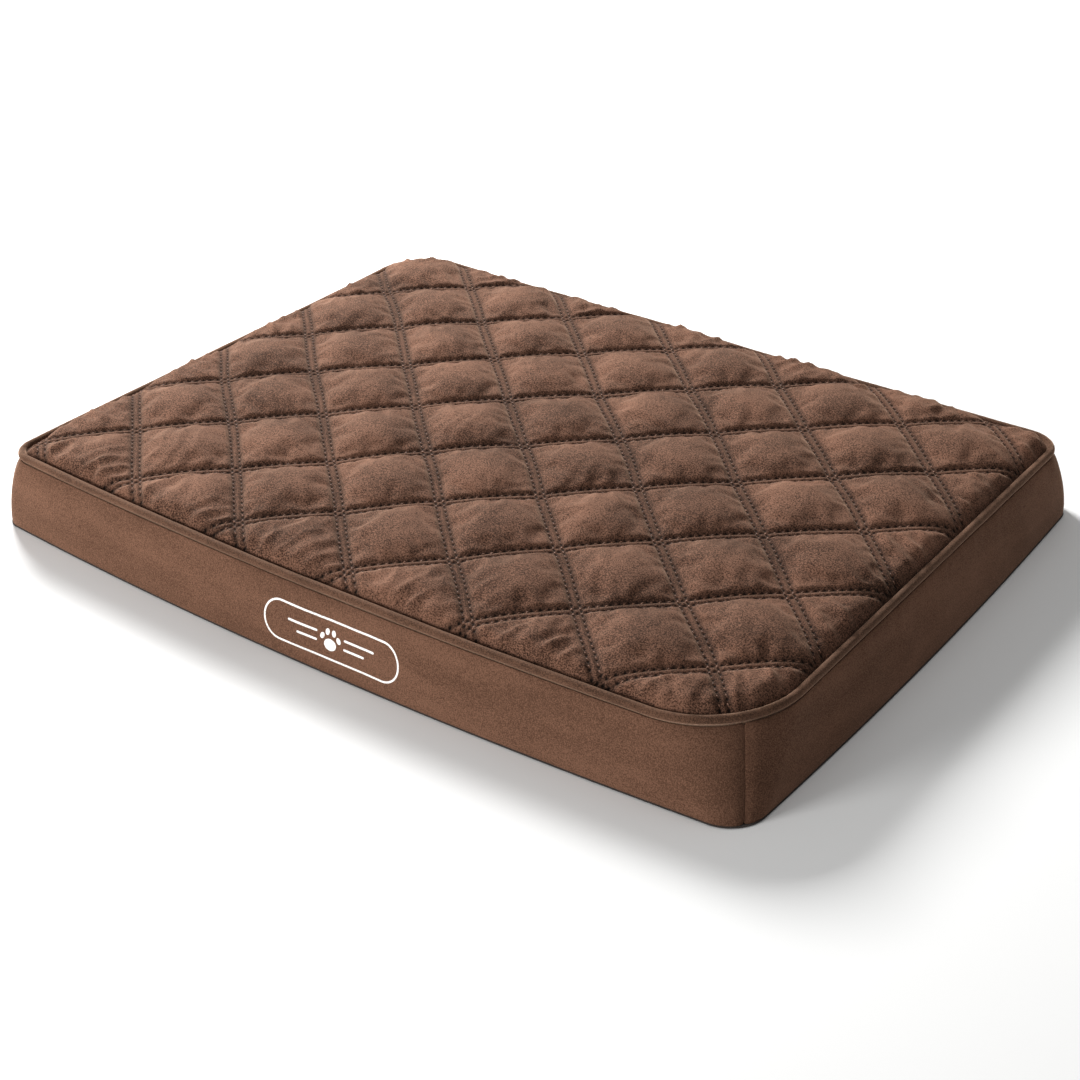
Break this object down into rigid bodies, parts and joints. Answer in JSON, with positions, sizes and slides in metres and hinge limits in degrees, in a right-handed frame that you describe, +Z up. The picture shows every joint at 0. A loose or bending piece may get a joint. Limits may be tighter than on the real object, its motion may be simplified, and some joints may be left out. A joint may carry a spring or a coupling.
{
  "type": "pet cushion bed",
  "caption": "Box-shaped pet cushion with a crowned diamond-quilted top, piped edge, plain padded sides and a zipped cover.",
  "frame": {"origin": "on the floor under the middle of the bed's bounding box", "axes": "+X along the long side, -Y towards the front with the badge, +Z up"},
  "size_m": [0.8028, 0.5954, 0.094],
  "materials": {
    "velour_top": "matte suede-like velour with a fine speckled pile",
    "velour_border": "plain suede-like velour with a soft sheen along the nap",
    "velour_piping": "bias-cut velour wrapped over a cord",
    "wadding": "lofted white polyester fibre",
    "nonwoven": "thin bonded non-woven cloth",
    "non_slip_base": "dark base cloth with small rubber dots",
    "cotton_cord": "twisted filler cord",
    "foam": "open-cell polyurethane foam",
    "zip_tape": "woven polyester tape",
    "zip_coil": "moulded polyester coil",
    "zip_metal": "dark enamelled zinc",
    "satin_label": "blank woven satin",
    "transfer_print": "white heat-transfer film"
  },
  "bodies": {
    "cushion": {"quilt_face": "velour_top", "quilt_wadding": "wadding", "quilt_backing": "nonwoven", "front_border": "velour_border", "left_border": "velour_border", "right_border": "velour_border", "back_border_lower": "velour_border", "back_border_upper": "velour_border", "zip_end_tab_left": "velour_border", "zip_end_tab_right": "velour_border", "base_panel": "non_slip_base", "piping_cover": "velour_piping", "piping_cord": "cotton_cord", "inner_liner_top": "nonwoven", "inner_liner_bottom": "nonwoven", "foam_slab": "foam", "fibre_fill": "wadding", "zip_tape_upper": "zip_tape", "zip_tape_lower": "zip_tape", "zip_coil_upper": "zip_coil", "zip_coil_lower": "zip_coil", "zip_top_stop_upper": "zip_metal", "zip_top_stop_lower": "zip_metal", "zip_bottom_stop": "zip_metal", "care_label": "satin_label", "printed_badge": "transfer_print"},
    "slider": {"zip_slider": "zip_metal"},
    "pull": {"zip_pull": "zip_metal"}
  },
  "joints": [
    {"name": "zip_slide", "type": "slide", "parent": "cushion", "child": "slider", "axis": [-1, 0, 0], "range_m": [0, 0.566]},
    {"name": "pull_flip", "type": "hinge", "parent": "slider", "child": "pull", "pos_m": [0.283, 0.29527, 0.03387], "axis": [0, 0.1476, -0.989], "range_deg": [0, 175]}
  ]
}
